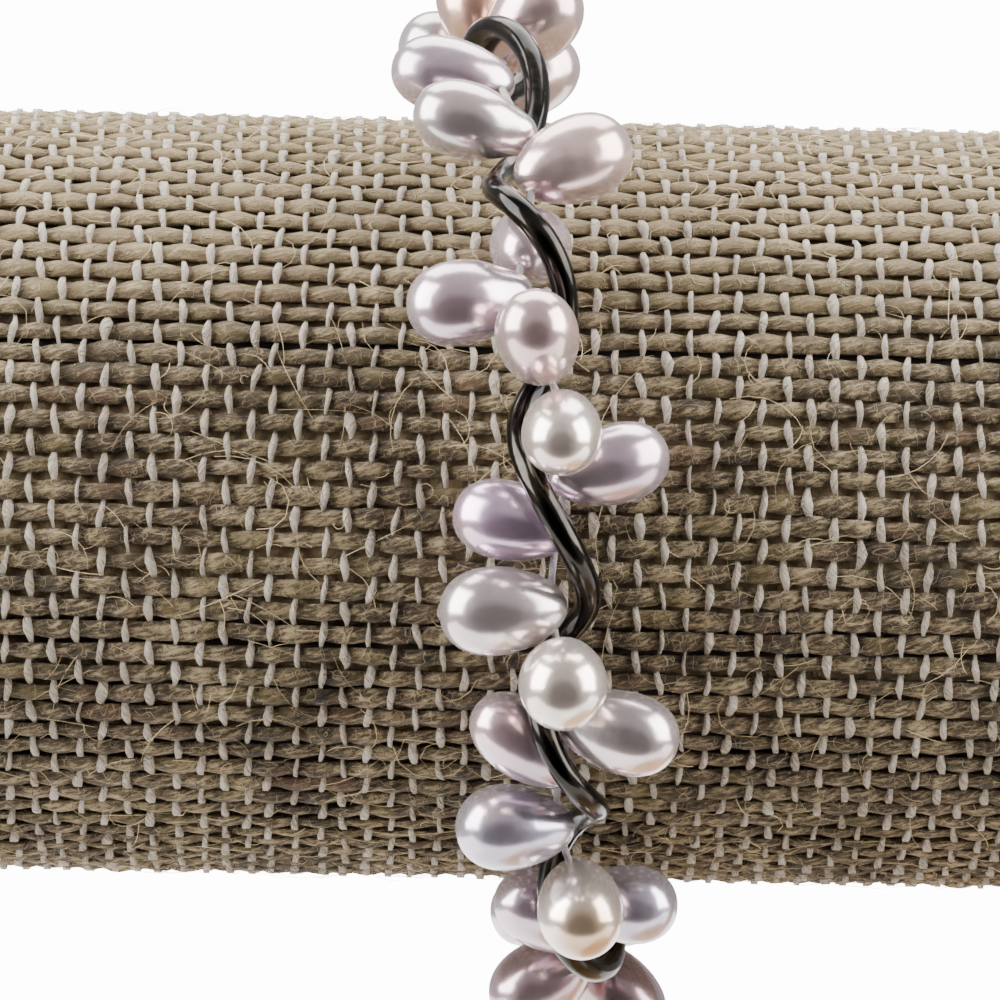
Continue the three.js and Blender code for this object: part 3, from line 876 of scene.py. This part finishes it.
def end_yarn(sign, offset, upright, phase, lift, wide, deep):
    """A straight yarn across an end of the bar, as verts, sample count and length."""
    half = math.sqrt(max(END_RADIUS**2 - offset**2, 1.0))
    count = max(6, int(half * 2 / 0.86))
    along = np.linspace(-half, half, count)
    wave = phase * np.cos(np.pi * along / WARP_PITCH)
    x = sign * (BAR_HALF - 0.12 + lift * wave)
    across = np.full(count, offset) + wander(count, count / 4, 0.06)
    first, second = (across, along) if upright else (along, across)
    centre = np.stack([x, first, second + AXIS_HEIGHT], -1)
    wide_dir = np.tile([0, 1.0, 0] if upright else [0, 0, 1.0], (count, 1))
    deep_dir = np.tile([float(sign), 0, 0], (count, 1))
    widths = wide * (1 + wander(count, count / 3, 0.1)) * (1 + 0.18 * wave)
    verts = yarn_mesh(centre, wide_dir, deep_dir, widths, np.full(count, deep), WARP_TURNS)
    return verts, count, along


def add_end_weave(thick_material, pale_material):
    """The woven burlap that closes each end of the bar."""
    kinds = (
        ("thick", False, 0.08, 0.72, 0.3, thick_material),
        ("pale", True, 0.26, 0.36, 0.2, pale_material),
    )
    for sign, label in ((-1, "left"), (1, "right")):
        for kind, upright, lift, wide, deep, material in kinds:
            pitch = WARP_PITCH if upright else 2 * np.pi * GROUND / ROWS
            steps = int(END_RADIUS / pitch)
            verts, quads, runs, first = [], [], [], 0
            for number in range(-steps, steps + 1):
                phase = (-1.0) ** number * (1 if upright else -1)
                offset = number * pitch
                yarn_points, count, along = end_yarn(sign, offset, upright, phase, lift, wide, deep)
                verts.append(yarn_points)
                quads.append(rings(count, len(WARP_TURNS), first))
                runs.append(yarn_run(along + 400, WARP_TURNS, rng.uniform(0, 90)))
                first += len(yarn_points)
            name = f"end_{kind}_yarns_{label}"
            dress(make(name, np.vstack(verts), np.vstack(quads), (), np.vstack(runs)), material, "burlap")


def add_fuzz(material):
    """Stray fibres that lie on the burlap."""
    steps = FIBRE_SAMPLES
    t = np.linspace(0, 1, steps)
    verts, quads = [], []
    for index in range(FIBRES):
        x0 = rng.uniform(1 - FIBRE_REACH, FIBRE_REACH - 1)
        a0 = rng.uniform(0, 2 * np.pi)
        long = rng.choice([rng.uniform(1.2, 3.5), rng.uniform(3, 9)])
        heading = rng.normal(0, 0.75) + rng.choice([0, np.pi])
        angle = heading + rng.normal(0, 1.9) * (t - 0.3)
        x = np.clip(x0 + np.cumsum(np.cos(angle)) * long / steps, -FIBRE_REACH, FIBRE_REACH)
        a = a0 + np.cumsum(np.sin(angle)) * long / steps / BAR_RADIUS
        rise = rng.uniform(0.05, 0.62)
        r = YARN_TOP + rise * np.sin(np.pi * np.clip(t * rng.uniform(0.6, 1.0), 0, 1))
        outward = np.stack([0 * a, -np.cos(a), -np.sin(a)], -1)
        centre = outward * r[:, None]
        centre[:, 0] += x
        centre[:, 2] += AXIS_HEIGHT
        tangent = np.gradient(centre, axis=0)
        tangent /= np.linalg.norm(tangent, axis=1, keepdims=True)
        sideways = np.cross(tangent, outward)
        thin = rng.uniform(0.018, 0.04) * (1 - 0.6 * t)
        verts.append(yarn_mesh(centre, sideways, outward, thin, thin, FIBRE_TURNS))
        quads.append(rings(steps, len(FIBRE_TURNS), index * steps * len(FIBRE_TURNS)))
    dress(make("stray_fibres", np.vstack(verts), np.vstack(quads)), material, "burlap")


def rounded(radius, half, edge, steps):
    """Profile of a disc or roll with round edges, from axis to axis."""
    low = quarter_round(radius - edge, edge - half, edge, np.linspace(0, math.pi / 2, steps))
    return [(0, -half)] + low + [(x, -z) for x, z in reversed(low)] + [(0, half)]


def add_core(material):
    """The padded roll inside the yarns, and a slightly crowned disc at each end."""
    verts, quads, tris = lathe(rounded(ROLL_RADIUS, ROLL_HALF, BAR_EDGE, 8), ROLL_SIDES)
    verts = verts[:, [2, 0, 1]] + [0, 0, AXIS_HEIGHT]
    dress(make("roll", verts, quads, tris), material, "burlap", "display_bar")
    for sign, label in ((-1, "left"), (1, "right")):
        verts, quads, tris = lathe(rounded(COVER_RADIUS, COVER_HALF, COVER_EDGE, 5), ROLL_SIDES)
        verts = verts[:, [2, 0, 1]]
        reach = np.clip(np.hypot(verts[:, 1], verts[:, 2]) / COVER_RADIUS, 0, 1)
        verts[:, 0] += sign * (COVER_PLACE + 0.05 * np.cos(reach * np.pi / 2))
        dress(make(f"end_cover_{label}", verts + [0, 0, AXIS_HEIGHT], quads, tris), material, "burlap")


def add_foot(material):
    """A round base and a post whose top is hollowed to carry the bar."""
    edge, chamfer = FOOT_EDGE, 0.6
    post, fillet = POST_RADIUS, POST_FILLET
    fillet_top = FOOT_THICKNESS + fillet
    profile = [(0, 0), (FOOT_RADIUS - chamfer, 0), (FOOT_RADIUS, chamfer)]
    edge_x, edge_z = FOOT_RADIUS - edge, FOOT_THICKNESS - edge
    for a in np.linspace(0, math.pi / 2, 9):
        profile.append((edge_x + edge * math.cos(a), edge_z + edge * math.sin(a)))
    profile += [(post + fillet + 9, FOOT_THICKNESS), (post + fillet + 2, FOOT_THICKNESS)]
    for a in np.linspace(0, math.pi / 2, 14):
        profile.append((post + fillet - fillet * math.sin(a), fillet_top - fillet * math.cos(a)))
    profile += [(post, fillet_top + 4), (post, 50), (post, POST_TOP), (0, POST_TOP)]
    verts, quads, tris = lathe(profile, FOOT_SIDES)
    seat = BAR_RADIUS + SEAT_GAP
    rim = np.sqrt(np.clip(seat**2 - verts[:, 1] ** 2, 0, None))
    top = verts[:, 2] > POST_TOP - 1
    verts[top, 2] = np.minimum(verts[top, 2], AXIS_HEIGHT - rim[top])
    dress(make("foot", verts, quads, tris), material, "wood", "display_foot")


add_camera()
add_floor()
add_world()
add_softbox("softbox_left", (-0.88, -0.26, 0.36), 0.62, 0.52, 0.6, 19.0, (1, 0.985, 0.97))
add_softbox("softbox_right", (0.88, -0.26, 0.36), 0.62, 0.52, 0.6, 15.5, (1, 0.98, 0.955))
add_softbox("softbox_top", (0.0, 0.34, 0.94), 0.9, 1.1, 0.7, 22.0, (1, 0.985, 0.96))

add_pearls()
add_wire(dark_metal("oxidised_wire", linear(12, 12, 13), linear(44, 41, 34), 0.14, 0.3, 0.25))
add_clasp(dark_metal("oxidised_clasp", linear(44, 43, 42), linear(86, 82, 76), 0.22, 0.38, 0.2))
thread_colours = (linear(140, 130, 132), linear(176, 166, 168), linear(204, 196, 198))
add_thread(yarn("string_fibre", *thread_colours, 0.9))
add_core(burlap_cloth("burlap_ground"))
jute_stains = (linear(98, 86, 44), linear(96, 64, 42))
jute_colours = (linear(22, 16, 10), linear(80, 67, 47), linear(174, 155, 119))
jute = yarn("jute_yarn", *jute_colours, 0.1, 0.7, jute_stains)
pale_colours = (linear(118, 103, 82), linear(188, 175, 156), linear(220, 210, 195))
pale = yarn("pale_yarn", *pale_colours, 0.5, 0.35)
add_weft(jute)
add_warp(pale)
fibre_colours = (linear(150, 130, 92), linear(190, 170, 128), linear(218, 202, 166))
add_fuzz(yarn("fibre", *fibre_colours, 0.3))
add_foot(pale_wood("pale_wood"))
add_end_weave(jute, pale)

bpy.context.view_layer.update()
